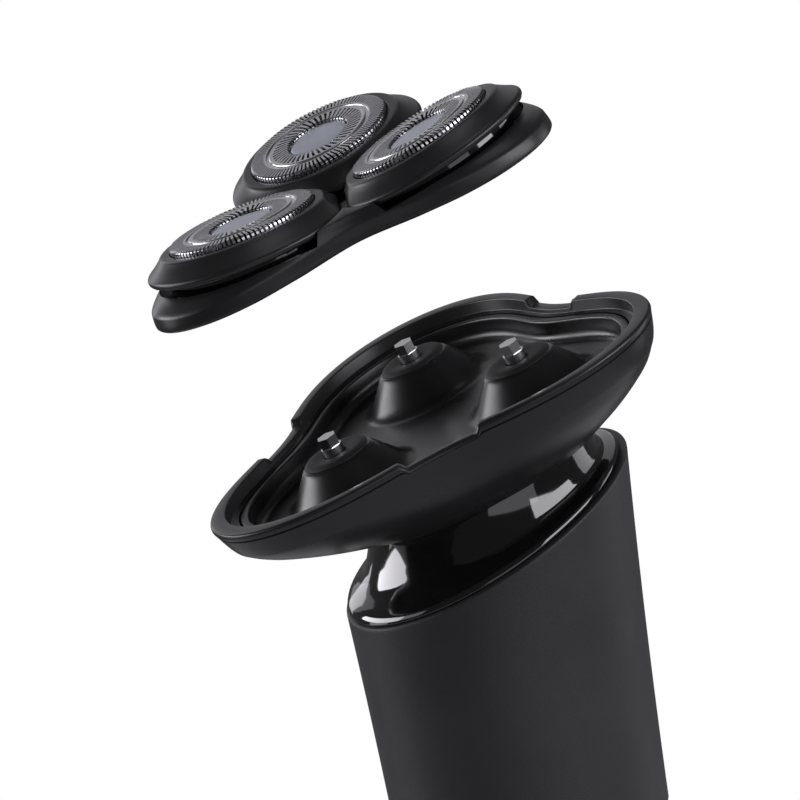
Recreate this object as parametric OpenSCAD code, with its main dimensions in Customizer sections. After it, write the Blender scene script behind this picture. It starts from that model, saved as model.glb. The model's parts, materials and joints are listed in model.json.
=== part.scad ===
// Three-head rotary shaver with a lift-off shaving unit.
// Frame: +Z up the handle, origin at the centre of the flat base, the front is -Y.
// The shaving unit is drawn lifted off its hair chamber. Millimetres.

/* [Handle] */
// Radius of the handle at its oblique top edge
handle_top_r = 22; // [20:0.5:24]
// Smallest radius of the handle, low on the grip
handle_grip_r = 19.5; // [18.5:0.5:20.5]
// Height of the middle of the handle's top edge
seam_z = 118; // [110:1:126]
// Slope of the handle's top edge, in degrees
seam_tilt = 24.6; // [15:0.1:28]
// Height of the power button's centre
button_z = 66; // [50:1:76]

/* [Head] */
// Lean of the head towards the front, in degrees
head_tilt = 20.4; // [10:0.1:25]
// Height of the hair chamber's rim above the handle's top edge
rim_rise = 21.5; // [19:0.5:24]
// How far the rim's centre sits in front of the handle's axis
rim_forward = 6.1; // [3:0.1:8]
// Mean radius of the hair chamber's rim
rim_mean_r = 32.1; // [30:0.1:34]
// How far the rim swells at each of its three lobes
rim_lobe = 5.75; // [3:0.05:6]
// Distance that the shaving unit is lifted off the chamber
lift_travel = 28.5; // [10:0.5:40]
// Lean of the lift direction, in degrees
lift_tilt = 13.1; // [10:0.1:20.4]

/* [Cutters] */
// Outer radius of each slotted guard
guard_r = 10.9; // [10:0.1:12]
// Distance of each guard's centre from the head's axis
guard_reach = 16.1; // [15.5:0.1:17]
// Inward tilt of each petal at rest, in degrees
petal_tilt = 6.5; // [4:0.5:8]
// Travel of the power button
button_travel = 0.5; // [0.3:0.1:0.8]

/* [Drive] */
// Gear module
gear_module = 0.5; // [0.5:0.1:0.5]
// Teeth on the motor pinion
pinion_teeth = 23; // [23:1:23]
// Teeth on each drive gear
gear_teeth = 44; // [44:1:44]

/* [Hidden] */

// Directions of the three cutters round the head's axis
FRONT = -90;
RIGHT = 30;
LEFT = 150;
SECTORS = [FRONT, RIGHT, LEFT];

$fn = 64;
eps = 0.01;
fit_gap = 0.15;
run_gap = 0.05;

// Handle
wall = 1.8;
grip_z = 40;
cap_h = 3;
cap_edge_r = 1.5;
spigot_h = 6;
seal_wire_r = 0.7;
shell_in_r = handle_grip_r - wall;
button_r = 6.5;
button_seal_t = 0.9;
seal_depth = 5.2;
board_y = -9;
board_t = 1.2;
board_w = 22;
board_bottom = 16;
board_top = 92;
cell_r = 7.1;
cell_h = 50;
cell_y = 5.2;
cell_bottom = 24;

// Head frame: origin in the middle of the rim plane
rim_centre = [0, -rim_forward, seam_z + rim_rise];
lift_vector = lift_travel * [0, -sin(lift_tilt), cos(lift_tilt)];

// Hair chamber and its shell: [height, mean radius, lobe, shift to the back]
shell_wall = 1.7;
floor_z = -5;
floor_t = 1.2;
SHELL_OUT = [
    [0, rim_mean_r - 0.5, rim_lobe, 0],
    [-0.4, rim_mean_r, rim_lobe, 0],
    [-4.5, rim_mean_r - 1.2, rim_lobe - 0.4, 0],
    [-5.4, rim_mean_r - 1.7, rim_lobe - 0.7, 0.1],
    [-7.0, rim_mean_r - 2.8, rim_lobe - 1.3, 0.5],
    [-9.0, rim_mean_r - 4.8, rim_lobe - 2.3, 1.0],
    [-11.0, rim_mean_r - 7.3, rim_lobe - 3.3, 1.5],
    [-13.0, rim_mean_r - 10.3, rim_lobe - 4.4, 2.0],
    [-14.5, rim_mean_r - 12.9, rim_lobe - 5.0, 2.3]];
tray_mean = rim_mean_r - 3.4;
tray_lobe = rim_lobe - 0.8;
tray_top = -1.9;
neck_z = -14.5;
neck_r = 17.8;
neck_shift = 2.3;
OUTLINE_N = 60;

// Drive line
spindle_reach = gear_module * (pinion_teeth + gear_teeth) / 2;
gear_top = -6.6;
gear_t = 2;
gear_bottom = gear_top - gear_t;
plate_top = -9.4;
plate_t = 1.4;
plate_r = 19;
post_r = 0.75;
post_top = -2.7;
hub_r = 2.6;
hub_top = -3.6;
spindle_r = 3.4;
spindle_neck_r = 1.6;
spindle_skirt = -5.0;
spindle_shoulder = -0.2;
spindle_roof = -0.9;
spindle_tip = 3.2;
tip_r = 1.5;
boss_top = 0.1;
boss_top_r = 5.2;
boss_base_r = 9.4;
boss_bore = 3.9;
motor_r = 10;
motor_top = -12.4;
motor_len = 26;
shaft_r = 0.75;
screw_reach = 6;
magnet_reach = 10.5;
magnet_r = 2.5;
magnet_h = 2;
magnet_roof = -5.4;

// Shaving unit, measured up from the ring's lower edge
ring_seat = 0.3;
RING_OUT = [
    [0, 26.2, 7.0, 0],
    [0.5, 27.0, 7.2, 0],
    [2.2, 27.0, 6.9, 0],
    [3.4, 26.3, 6.2, 0],
    [4.4, 25.2, 5.2, 0]];
RING_IN = [
    [4.4, 9.5, 0, 0],
    [3.2, 9.5, 0, 0],
    [3.2, 24.5, 6.1, 0],
    [1.4, 25.5, 7.0, 0],
    [0, 25.5, 7.0, 0]];
guard_plane = 7.9;
pin_reach = 4.6;
pin_height = 1.75;
pin_r = 0.6;
pin_len = 11.8;
lug_half = 1.5;
lug_near = 4.4;
lug_far = 8.4;
lug_top = 2.45;
hinge_room_r = 9.4;
hinge_room_top = 3.15;
plateau_r = 12.2;
plateau_z = -0.8;
skirt_r = 15.3;
skirt_z = -3.5;
petal_body_r = 12.8;
petal_body_low = -6.2;
pocket_r = 13.7;
plate_hole_r = 13.4;
guard_t = 0.5;
guard_h = 3.2;
groove_r = 7.9;
groove_w = 0.9;
centre_r = 4.6;
blade_r = 9.9;
blade_count = 9;
blade_z = -2.7;
blade_t = 0.5;
blade_bore = 2.4;
edge_h = 1.85;
hub_bottom = -6.4;
socket_r = 2.1;

// ---------- Geometry helpers ----------

// Radius of a three-lobed outline in direction a
function lobed(a, mean, lobe) = mean + lobe * cos(3 * (a + 90));

// Points of one three-lobed section, grown outward by g
function lobed_section(s, g = 0) = [for (i = [0 : OUTLINE_N - 1])
    let (a = 360 * i / OUTLINE_N, r = lobed(a, s[1] + g, s[2]))
    [r * cos(a), r * sin(a) + s[3], s[0]]];

// Linear blend between the two table rows at a height
function row_at(t, z, i = 0) = i >= len(t) - 2 || z >= t[i + 1][0]
    ? let (k = (z - t[i][0]) / (t[i + 1][0] - t[i][0])) t[i] + k * (t[i + 1] - t[i])
    : row_at(t, z, i + 1);

// Closed skin through sections of equal point count, given from low to high
module skin(sections) {
    n = len(sections[0]);
    m = len(sections);
    pts = [for (s = sections) each s];
    sides = [for (k = [0 : m - 2]) for (i = [0 : n - 1])
        let (a = k * n + i, b = k * n + (i + 1) % n)
        each [[a, b + n, b], [a, a + n, b + n]]];
    bottom = [[for (i = [0 : n - 1]) i]];
    top = [[for (i = [n - 1 : -1 : 0]) (m - 1) * n + i]];
    polyhedron(points = pts, faces = concat(bottom, top, sides), convexity = 6);
}

// Closed tube through sections of equal point count, the last one joined to the first
module loop_skin(sections) {
    n = len(sections[0]);
    m = len(sections);
    pts = [for (s = sections) each s];
    sides = [for (k = [0 : m - 1]) for (i = [0 : n - 1])
        let (next = (k + 1) % m, a = k * n + i, b = k * n + (i + 1) % n,
            c = next * n + i, d = next * n + (i + 1) % n)
        each [[a, d, b], [a, c, d]]];
    polyhedron(points = pts, faces = sides, convexity = 6);
}

function reversed(v) = [for (i = [len(v) - 1 : -1 : 0]) v[i]];

// Frame of the hair chamber and drive line
module in_head() {
    translate(rim_centre) rotate([head_tilt, 0, 0]) children();
}

// Frame of the lifted shaving unit, from the ring's lower edge
module in_unit() {
    translate(lift_vector) in_head() translate([0, 0, ring_seat]) children();
}

// One cutter's sector: x points outward
module in_sector(a) {
    rotate([0, 0, a]) children();
}

// One petal's own frame: x outward, z along the guard's axis, origin in its top face
module in_petal(a) {
    in_unit() in_sector(a)
        translate([guard_reach, 0, guard_plane])
            rotate([0, -petal_tilt, 0]) children();
}

// Everything above the handle's oblique top edge, shifted up by dz
module above_seam(dz = 0) {
    translate([0, 0, seam_z + dz]) rotate([seam_tilt, 0, 0])
        translate([-60, -60, 0]) cube([120, 120, 80]);
}

// ---------- Handle ----------

// Outer radius of the handle at height z
function handle_r(z) = z <= grip_z ? handle_grip_r
    : handle_grip_r + (handle_top_r - handle_grip_r) * pow((z - grip_z) / (seam_z - grip_z), 2);

function handle_profile(inset, z0, z1, n) =
    [for (i = [0 : n]) let (z = z0 + (z1 - z0) * i / n) [handle_r(z) - inset, z]];

module handle_shell() {
    color("#303034") difference() {
        rotate_extrude($fn = 96)
            polygon(concat([[0, cap_h]], handle_profile(0, cap_h, seam_z + 12, 16),
                [[0, seam_z + 12]]));
        rotate_extrude($fn = 96)
            polygon(concat([[0, cap_h - 1]], handle_profile(wall, cap_h - 1, seam_z + 14, 16),
                [[0, seam_z + 14]]));
        above_seam();
        translate([0, -handle_grip_r + 8, button_z]) rotate([90, 0, 0])
            cylinder(r = button_r + button_seal_t + 0.1, h = 20);
    }
}

module base_cap() {
    r = handle_grip_r;
    color("#2a2a2d") difference() {
        union() {
            rotate_extrude($fn = 96) union() {
                square([r - cap_edge_r, cap_h]);
                translate([0, cap_edge_r]) square([r, cap_h - cap_edge_r]);
                translate([r - cap_edge_r, cap_edge_r]) circle(r = cap_edge_r, $fn = 48);
            }
            translate([0, 0, cap_h - eps])
                cylinder(r = shell_in_r - fit_gap, h = spigot_h + eps, $fn = 96);
        }
        translate([0, 0, cap_h + spigot_h / 2]) rotate_extrude($fn = 96)
            translate([shell_in_r - 2 * seal_wire_r - 0.1, -seal_wire_r - 0.1])
                square([3, 2 * seal_wire_r + 0.2]);
        translate([0, 0, cap_h]) cylinder(r = shell_in_r - 3.4, h = spigot_h + 1);
        port_pocket(0.1, -1, cap_h + 2);
    }
}

module base_seal() {
    color("#151515") translate([0, 0, cap_h + spigot_h / 2]) rotate_extrude($fn = 96)
        translate([shell_in_r - seal_wire_r, 0]) circle(r = seal_wire_r - 0.02, $fn = 24);
}

// Rounded slot of the charging port, grown by g, from z0 to z1
port_half = 2.9;
port_r = 1.6;
module port_pocket(g, z0, z1) {
    for (x = [-port_half, port_half])
        translate([x, 0, z0]) cylinder(r = port_r + g, h = z1 - z0, $fn = 32);
    translate([-port_half, -port_r - g, z0]) cube([2 * port_half, 2 * (port_r + g), z1 - z0]);
}

module charging_port() {
    color("silver") difference() {
        port_pocket(0, 0.4, 7.4);
        port_pocket(-0.3, -1, 6.6);
    }
}

module port_contacts() {
    color("gold") translate([-2.2, -0.35, 1.2]) cube([4.4, 0.7, 5.35]);
}

module inner_frame() {
    r = shell_in_r - 0.8;
    color("#e8e8e8") difference() {
        union() {
            translate([0, 0, 11]) difference() {
                cylinder(r = r, h = 74);
                translate([0, 0, -1]) cylinder(r = r - 1.5, h = 76);
                translate([-30, -30, -1]) cube([60, 22, 76]);
            }
            for (z = [11, cell_bottom - 2, cell_bottom + cell_h + 1])
                translate([0, 0, z]) intersection() {
                    cylinder(r = r - 1, h = 1.6);
                    translate([-30, board_y + board_t + 0.4, 0]) cube([60, 40, 2]);
                }
        }
        translate([0, r, 48]) rotate([90, 0, 0]) cylinder(r = 7, h = 8);
    }
}

module battery_cell() {
    color("#3d6ea8") translate([0, cell_y, cell_bottom]) {
        cylinder(r = cell_r, h = cell_h - 0.8);
        translate([0, 0, cell_h - 0.8 - eps]) cylinder(r = 3, h = 0.8);
    }
}

module battery_tabs() {
    color("silver") for (z = [cell_bottom - 0.35, cell_bottom + cell_h + 0.1])
        translate([-2, board_y + board_t + 0.1, z])
            cube([4, cell_y - board_y - board_t, 0.25]);
}

module circuit_board() {
    color("#1f6b3a") translate([-board_w / 2, board_y, board_bottom])
        cube([board_w, board_t, board_top - board_bottom]);
}

module board_parts() {
    color("#202020") {
        translate([-4, board_y - 1.5, 40]) cube([8, 1.5, 8]);
        translate([-8, board_y - 1, 54]) cube([3, 1, 5]);
        translate([5, board_y - 1.2, 54]) cube([4, 1.2, 4]);
        translate([-3, board_y - 1, 78]) cube([6, 1, 4]);
        translate([-5, board_y - 2.2, 20]) cube([10, 2.2, 5]);
    }
}

switch_body_h = 2.4;
plunger_h = 0.8;
// The stem stops just short of the switch plunger at the end of the button's travel
stem_end = -board_y + switch_body_h + plunger_h + button_travel + fit_gap;

module button_switch() {
    color("#c0c0c0") translate([0, board_y, button_z]) rotate([90, 0, 0]) {
        translate([-3, -3, 0]) cube([6, 6, switch_body_h]);
        translate([0, 0, switch_body_h - eps]) cylinder(r = 1.7, h = plunger_h);
    }
}

// Face of the button sits a little below the handle's surface
button_face = handle_r(button_z) - 0.2;

module button_seal() {
    color("#1c1c1c") translate([0, 0, button_z]) rotate([90, 0, 0])
        translate([0, 0, button_face - seal_depth]) difference() {
            union() {
                cylinder(r = button_r + button_seal_t, h = seal_depth - 0.4);
                cylinder(r = button_r + 2.4, h = 0.9);
            }
            translate([0, 0, -1]) cylinder(r = button_r + 0.06, h = seal_depth + 1);
        }
}

module power_button() {
    color("#26262a") translate([0, 0, button_z]) rotate([90, 0, 0])
        difference() {
            union() {
                translate([0, 0, button_face - 2.6]) cylinder(r = button_r, h = 2.6);
                translate([0, 0, stem_end])
                    cylinder(r = 1.5, h = button_face - 2.6 - stem_end + eps);
            }
            translate([0, 0, button_face + 24.4]) sphere(r = 25, $fn = 96);
        }
}

// ---------- Motor and gears ----------

module motor_can() {
    color("#b8bcc0") in_head() translate([0, 0, motor_top - motor_len]) difference() {
        union() {
            cylinder(r = motor_r, h = motor_len);
            translate([0, 0, motor_len - eps]) cylinder(r = 3, h = 1.2 + eps);
        }
        translate([0, 0, -1]) cylinder(r = shaft_r + run_gap, h = motor_len + 4);
        for (s = [-1, 1]) translate([s * screw_reach, 0, motor_len - 2])
            cylinder(r = 0.85, h = 3);
    }
}

module motor_end_bell() {
    color("#222222") in_head() translate([0, 0, motor_top - motor_len - 3]) difference() {
        union() {
            cylinder(r = motor_r - 0.4, h = 2.9);
            for (x = [-5, 5]) translate([x - 0.4, 3, -2.5]) cube([0.8, 2.5, 3]);
        }
        translate([0, 0, -4]) cylinder(r = shaft_r + run_gap, h = 10);
    }
}

module motor_shaft() {
    color("#d0d0d0") in_head() translate([0, 0, motor_top - motor_len - 2.4])
        cylinder(r = shaft_r, h = gear_top - 0.2 - (motor_top - motor_len - 2.4), $fn = 32);
}

// Flat-sided spur gear teeth as one polygon, with a tooth at angle 0
module gear_outline(teeth) {
    pitch_r = gear_module * teeth / 2;
    root_r = pitch_r - 1.25 * gear_module;
    tip_r = pitch_r + 0.8 * gear_module;
    step = 360 / teeth;
    polygon([for (i = [0 : teeth - 1]) each [
        for (p = [[-0.30, root_r], [-0.12, tip_r], [0.12, tip_r], [0.30, root_r]])
            p[1] * [cos((i + p[0]) * step), sin((i + p[0]) * step)]]]);
}

module motor_pinion() {
    color("#d8d3c4") in_head() translate([0, 0, gear_bottom + 0.1]) difference() {
        linear_extrude(gear_t - 0.2) gear_outline(pinion_teeth);
        translate([0, 0, -1]) cylinder(r = shaft_r, h = 5, $fn = 32);
    }
}

// Turn that puts a gear's gap opposite the pinion's tooth in direction a
function mesh_turn(a) = let (step = 360 / pinion_teeth, lag = a - step * floor(a / step))
    180 + lag * pinion_teeth / gear_teeth + 180 / gear_teeth;

module drive_gear(a) {
    color("#e4dfd2") in_head() in_sector(a) translate([spindle_reach, 0, 0]) difference() {
        union() {
            translate([0, 0, gear_bottom]) rotate([0, 0, mesh_turn(a)])
                linear_extrude(gear_t) gear_outline(gear_teeth);
            translate([0, 0, gear_top - eps]) cylinder(r = hub_r, h = hub_top - gear_top, $fn = 6);
            translate([0, 0, plate_top + 0.1]) cylinder(r = 2, h = gear_bottom - plate_top);
        }
        translate([0, 0, -12]) cylinder(r = post_r + run_gap, h = 14, $fn = 32);
    }
}
module drive_gear_front() { drive_gear(FRONT); }
module drive_gear_right() { drive_gear(RIGHT); }
module drive_gear_left() { drive_gear(LEFT); }

module gear_plate() {
    color("#8f9296") in_head() translate([0, 0, plate_top - plate_t]) difference() {
        cylinder(r = plate_r, h = plate_t, $fn = 96);
        translate([0, 0, -1]) cylinder(r = 3.2, h = 4);
        for (s = [-1, 1]) translate([s * screw_reach, 0, -1]) cylinder(r = 1, h = 4, $fn = 24);
        for (a = SECTORS) in_sector(a) translate([spindle_reach, 0, -1])
            cylinder(r = post_r, h = 4, $fn = 32);
    }
}

module gear_posts() {
    color("#c8c8c8") in_head() for (a = SECTORS) in_sector(a)
        translate([spindle_reach, 0, plate_top - plate_t])
            cylinder(r = post_r, h = post_top - plate_top + plate_t, $fn = 32);
}

module motor_screws() {
    color("#a0a0a0") in_head() for (s = [-1, 1]) translate([s * screw_reach, 0, 0]) {
        translate([0, 0, motor_top - 1.8]) cylinder(r = 0.8, h = plate_top - motor_top + 1.8 + eps);
        translate([0, 0, plate_top]) difference() {
            cylinder(r = 1.5, h = 0.6);
            translate([0, 0, 0.3]) cylinder(r = 0.6, h = 1, $fn = 6);
        }
    }
}

// Small coil spring at its pressed length
module spindle_spring(a) {
    turns = 2.5;
    coil_r = 1.5;
    wire_r = 0.17;
    per_turn = 14;
    sides = 6;
    length = 1.05;
    rings = turns * per_turn;
    ring_pts = [for (k = [0 : rings]) [for (j = [0 : sides - 1])
        let (t = 360 * k / per_turn, q = 360 * j / sides, r = coil_r + wire_r * cos(q))
        [r * cos(t), r * sin(t), wire_r + (length - 2 * wire_r) * k / rings + wire_r * sin(q)]]];
    color("silver") in_head() in_sector(a) translate([spindle_reach, 0, hub_top + 0.02])
        skin(ring_pts);
}
module spindle_spring_front() { spindle_spring(FRONT); }
module spindle_spring_right() { spindle_spring(RIGHT); }
module spindle_spring_left() { spindle_spring(LEFT); }

module drive_spindle(a) {
    color("#d9d9d9") in_head() in_sector(a) translate([spindle_reach, 0, 0]) difference() {
        union() {
            translate([0, 0, spindle_skirt])
                cylinder(r = spindle_r, h = spindle_shoulder - spindle_skirt);
            cylinder(r = spindle_neck_r, h = 1.6, $fn = 32);
            translate([0, 0, spindle_shoulder - eps])
                cylinder(r = spindle_neck_r, h = 0.5, $fn = 32);
            cylinder(r = tip_r, h = spindle_tip, $fn = 6);
        }
        translate([0, 0, spindle_skirt - 1])
            cylinder(r = hub_r + 0.1, h = spindle_roof - spindle_skirt + 1, $fn = 6);
    }
}
module drive_spindle_front() { drive_spindle(FRONT); }
module drive_spindle_right() { drive_spindle(RIGHT); }
module drive_spindle_left() { drive_spindle(LEFT); }

// ---------- Neck and hair chamber ----------

// Neck section: blends the oblique top edge (t = 0) into the round neck (t = 1)
NECK_N = 48;
function seam_point(q, r, dz) = [r * cos(q), r * sin(q), seam_z + dz + r * sin(q) * tan(seam_tilt)];
function neck_point(q, r, z) = rim_centre + [r * cos(q),
    (r * sin(q) + neck_shift) * cos(head_tilt) - z * sin(head_tilt),
    (r * sin(q) + neck_shift) * sin(head_tilt) + z * cos(head_tilt)];
function neck_section(t, seam_r, round_r, dz) = [for (i = [0 : NECK_N - 1])
    let (q = 360 * i / NECK_N)
    (1 - t) * seam_point(q, seam_r, dz) + t * neck_point(q, round_r, neck_z - 0.05)];

module neck_collar() {
    seam_r = handle_top_r - 0.7;
    color("#101012") difference() {
        skin([
            neck_section(0, seam_r, neck_r, 0.1),
            neck_section(0.08, seam_r + 0.3, neck_r + 0.2, 0.1),
            neck_section(0.27, seam_r + 0.8, neck_r + 0.6, 0.1),
            neck_section(0.5, seam_r - 0.4, neck_r + 0.2, 0.1),
            neck_section(0.8, seam_r - 1.8, neck_r, 0.1),
            neck_section(1, seam_r, neck_r, 0.1)]);
        skin([
            neck_section(-0.2, seam_r - 2.2, neck_r - 2.4, 0.1),
            neck_section(0.5, seam_r - 2.7, neck_r - 2.4, 0.1),
            neck_section(1.2, seam_r - 2.2, neck_r - 2.4, 0.1)]);
    }
}

module collar_seal() {
    color("#151515") difference() {
        skin([for (dz = [-2.4, 0]) neck_section(0, handle_top_r - wall - 0.6, neck_r, dz)]);
        skin([for (dz = [-6, 4]) neck_section(0, handle_top_r - wall - 2.6, neck_r, dz)]);
    }
}

module chamber_shell() {
    low = floor_z - floor_t;
    inner = [for (z = [low, -7, -9, -11, -13]) row_at(SHELL_OUT, z)];
    base = row_at(SHELL_OUT, neck_z);
    color("#2b2a2d") in_head() difference() {
        loop_skin(concat(
            [for (s = reversed(SHELL_OUT)) lobed_section(s)],
            [for (z = [0, low + eps]) lobed_section([z, tray_mean, tray_lobe, 0])],
            [for (s = inner) lobed_section(s, -shell_wall)],
            [lobed_section(base, -shell_wall)]));
        thumb_notches();
    }
}

// Shallow finger notches in the rim, one in each valley between two lobes
module thumb_notches() {
    for (a = SECTORS) in_sector(a + 180)
        translate([rim_mean_r - rim_lobe - 3, -5.8, -1.1]) cube([8, 11.6, 4]);
}

// Flat three-lobed shape
module lobed_shape(mean, lobe) {
    polygon([for (p = lobed_section([0, mean, lobe, 0])) [p[0], p[1]]]);
}

module hair_tray() {
    outline = tray_mean - fit_gap;
    color("#232225") in_head() difference() {
        union() {
            translate([0, 0, floor_z - floor_t]) linear_extrude(floor_t)
                lobed_shape(outline, tray_lobe);
            translate([0, 0, floor_z - 0.5]) linear_extrude(tray_top - floor_z + 0.5) difference() {
                lobed_shape(outline, tray_lobe);
                lobed_shape(outline - 1.4, tray_lobe);
            }
            for (a = SECTORS) in_sector(a) translate([spindle_reach, 0, floor_z - 0.3])
                cylinder(r1 = boss_base_r, r2 = boss_top_r, h = boss_top - floor_z + 0.3);
        }
        for (a = SECTORS) in_sector(a) translate([spindle_reach, 0, floor_z - 3])
            cylinder(r = boss_bore, h = 10);
        for (a = SECTORS) in_sector(a + 180) translate([magnet_reach, 0, magnet_roof - 3])
            cylinder(r = magnet_r + 0.02, h = 3);
    }
}

module spindle_seals() {
    color("#3a3a3c") in_head() for (a = SECTORS) in_sector(a)
        translate([spindle_reach, 0, boss_top]) difference() {
            cylinder(r1 = boss_top_r - 0.2, r2 = boss_top_r - 0.8, h = 0.6);
            translate([0, 0, -1]) cylinder(r = spindle_neck_r + 0.08, h = 3, $fn = 32);
        }
}

module chamber_magnets() {
    color("#b0b0b4") in_head() for (a = SECTORS) in_sector(a + 180)
        translate([magnet_reach, 0, magnet_roof - 0.02 - magnet_h]) cylinder(r = magnet_r, h = magnet_h);
}

// ---------- Shaving unit ----------

module head_ring() {
    color("#29282b") in_unit() difference() {
        loop_skin(concat(
            [for (s = RING_OUT) lobed_section(s)],
            [for (s = RING_IN) lobed_section(s)]));
        for (a = SECTORS) in_sector(a)
            translate([guard_reach, 0, guard_plane]) rotate([0, -petal_tilt, 0]) {
                translate([0, 0, -12]) cylinder(r = pocket_r, h = 16, $fn = 96);
                translate([0, 0, skirt_z - 2.1]) cylinder(r = skirt_r + 0.5, h = 10, $fn = 96);
            }
    }
}

// Outline of a petal about its guard's centre: round outside, cut by its two sector sides,
// which lie inset inside the lines towards the neighbours, and blunt at the head's centre
PETAL_N = 60;
function side_reach(q, inset) = let (d = guard_reach * sin(60) - inset,
    c = max(cos(q - 150), cos(q + 150))) c <= 0 ? 1000 : d / c;
function nose_reach(q, nose) = cos(q) >= 0 ? 1000 : (guard_reach - nose) / -cos(q);
function petal_outline(r, inset, nose) = [for (i = [0 : PETAL_N - 1])
    let (q = 360 * i / PETAL_N, d = min(r, side_reach(q, inset), nose_reach(q, nose)))
    [d * cos(q), d * sin(q)]];
function at_height(v, z) = [for (p = v) [p[0], p[1], z]];

// Space under the petals' inner corners, in a petal's frame, for the lugs and hinge eyes
module hinge_room() {
    rotate([0, petal_tilt, 0]) translate([-guard_reach, 0, -guard_plane])
        cylinder(r = hinge_room_r, h = hinge_room_top);
}

module petal_cover(a) {
    color("#27272a") in_petal(a) difference() {
        skin([
            at_height(petal_outline(skirt_r - 0.9, 1.2, 1.8), skirt_z - 0.6),
            at_height(petal_outline(skirt_r - 0.2, 0.5, 1.1), skirt_z - 0.4),
            at_height(petal_outline(skirt_r, 0.3, 0.9), skirt_z + 0.2),
            at_height(petal_outline(skirt_r - 0.3, 0.5, 1.1), skirt_z + 0.7),
            at_height(petal_outline(plateau_r + 0.6, 1.6, 3.0), plateau_z - 0.25),
            at_height(petal_outline(plateau_r, 1.9, 3.4), plateau_z)]);
        translate([0, 0, -2.2]) cylinder(r = guard_r + 0.1, h = 4, $fn = 96);
        translate([0, 0, -8]) cylinder(r = guard_r + 0.95, h = 8 - 2.2 + eps, $fn = 96);
        hinge_room();
    }
}
module petal_cover_front() { petal_cover(FRONT); }
module petal_cover_right() { petal_cover(RIGHT); }
module petal_cover_left() { petal_cover(LEFT); }

// Ring that carries the cover and guard, with its hinge eye
module petal_frame(a) {
    color("#1f1f21") difference() {
        union() {
            in_petal(a) translate([0, 0, petal_body_low])
                linear_extrude(skirt_z - 0.62 - petal_body_low)
                    intersection() {
                        circle(r = petal_body_r, $fn = 96);
                        polygon(petal_outline(2 * petal_body_r, lug_half + 0.4, 2.4));
                    }
            in_unit() in_sector(a) translate([pin_reach, 2.4, pin_height]) rotate([90, 0, 0])
                cylinder(r = 1.3, h = 4.8, $fn = 32);
        }
        in_petal(a) translate([0, 0, -10]) cylinder(r = guard_r + 0.2, h = 9, $fn = 96);
        in_unit() in_sector(a) translate([pin_reach, 10, pin_height]) rotate([90, 0, 0])
            cylinder(r = pin_r + run_gap, h = 20, $fn = 32);
    }
}
module petal_frame_front() { petal_frame(FRONT); }
module petal_frame_right() { petal_frame(RIGHT); }
module petal_frame_left() { petal_frame(LEFT); }

// Steel cap with two cutting tracks, a groove between them and a hollow underside
module guard(a) {
    color("#c9ccd2") in_petal(a) rotate_extrude($fn = 96) difference() {
        union() {
            translate([0, -guard_h]) square([guard_r - 0.3, guard_h]);
            translate([0, -guard_h]) square([guard_r, guard_h - 0.35]);
            translate([0, -guard_h]) square([guard_r + 0.8, 0.6]);
        }
        translate([-1, -guard_h - 1]) square([guard_r - guard_t + 1, guard_h + 1 - guard_t]);
        translate([groove_r - groove_w / 2, -0.3]) square([groove_w, 1]);
        translate([-1, -0.25]) square([centre_r + 1.02, 1]);
        translate([-1, -3]) square([2.5, 4]);
    }
}
module guard_front() { guard(FRONT); }
module guard_right() { guard(RIGHT); }
module guard_left() { guard(LEFT); }

module guard_cap(a) {
    color("#8a919b") in_petal(a) {
        translate([0, 0, -0.25]) cylinder(r = centre_r - 0.02, h = 0.2);
        translate([0, 0, -0.5]) cylinder(r = 1.48, h = 0.3);
    }
}
module guard_cap_front() { guard_cap(FRONT); }
module guard_cap_right() { guard_cap(RIGHT); }
module guard_cap_left() { guard_cap(LEFT); }

// Spoked ring that keeps the blade in its guard
module blade_retainer(a) {
    color("#ececec") in_petal(a) translate([0, 0, -4.6]) difference() {
        union() {
            difference() {
                cylinder(r = guard_r + 0.1, h = 0.9, $fn = 96);
                translate([0, 0, -1]) cylinder(r = guard_r - 1.6, h = 4, $fn = 96);
            }
            cylinder(r = 4.6, h = 0.9);
            for (k = [0 : 2]) rotate([0, 0, 120 * k + 60])
                translate([4, -1, 0]) cube([guard_r - 4.6, 2, 0.9]);
        }
        translate([0, 0, -1]) cylinder(r = 3.4, h = 4);
    }
}
module blade_retainer_front() { blade_retainer(FRONT); }
module blade_retainer_right() { blade_retainer(RIGHT); }
module blade_retainer_left() { blade_retainer(LEFT); }

// Steel star with upright cutting edges under the two tracks
module blade(a) {
    color("#dfe2e6") in_petal(a) {
        translate([0, 0, blade_z]) linear_extrude(blade_t) difference() {
            union() {
                circle(r = blade_r - 3);
                for (k = [0 : blade_count - 1]) rotate([0, 0, 360 * k / blade_count])
                    translate([blade_r - 5, -0.9]) square([5, 1.8]);
            }
            circle(r = blade_bore);
        }
        for (k = [0 : blade_count - 1]) rotate([0, 0, 360 * k / blade_count])
            for (x = [groove_r + groove_w / 2 + 0.1, groove_r - groove_w / 2 - 1.7])
                translate([x, -0.6, blade_z + blade_t / 2]) cube([1.3, 0.5, edge_h]);
    }
}
module blade_front() { blade(FRONT); }
module blade_right() { blade(RIGHT); }
module blade_left() { blade(LEFT); }

// Plastic hub that takes the drive spindle in a six-sided socket
module blade_hub(a) {
    color("#4a4a4c") in_petal(a) difference() {
        union() {
            translate([0, 0, hub_bottom]) cylinder(r = 3.1, h = blade_z - 0.02 - hub_bottom);
            translate([0, 0, blade_z - 0.1]) cylinder(r = blade_bore - 0.02, h = 1.2);
        }
        translate([0, 0, hub_bottom - 1]) cylinder(r = socket_r, h = 3.4, $fn = 6);
    }
}
module blade_hub_front() { blade_hub(FRONT); }
module blade_hub_right() { blade_hub(RIGHT); }
module blade_hub_left() { blade_hub(LEFT); }

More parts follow.
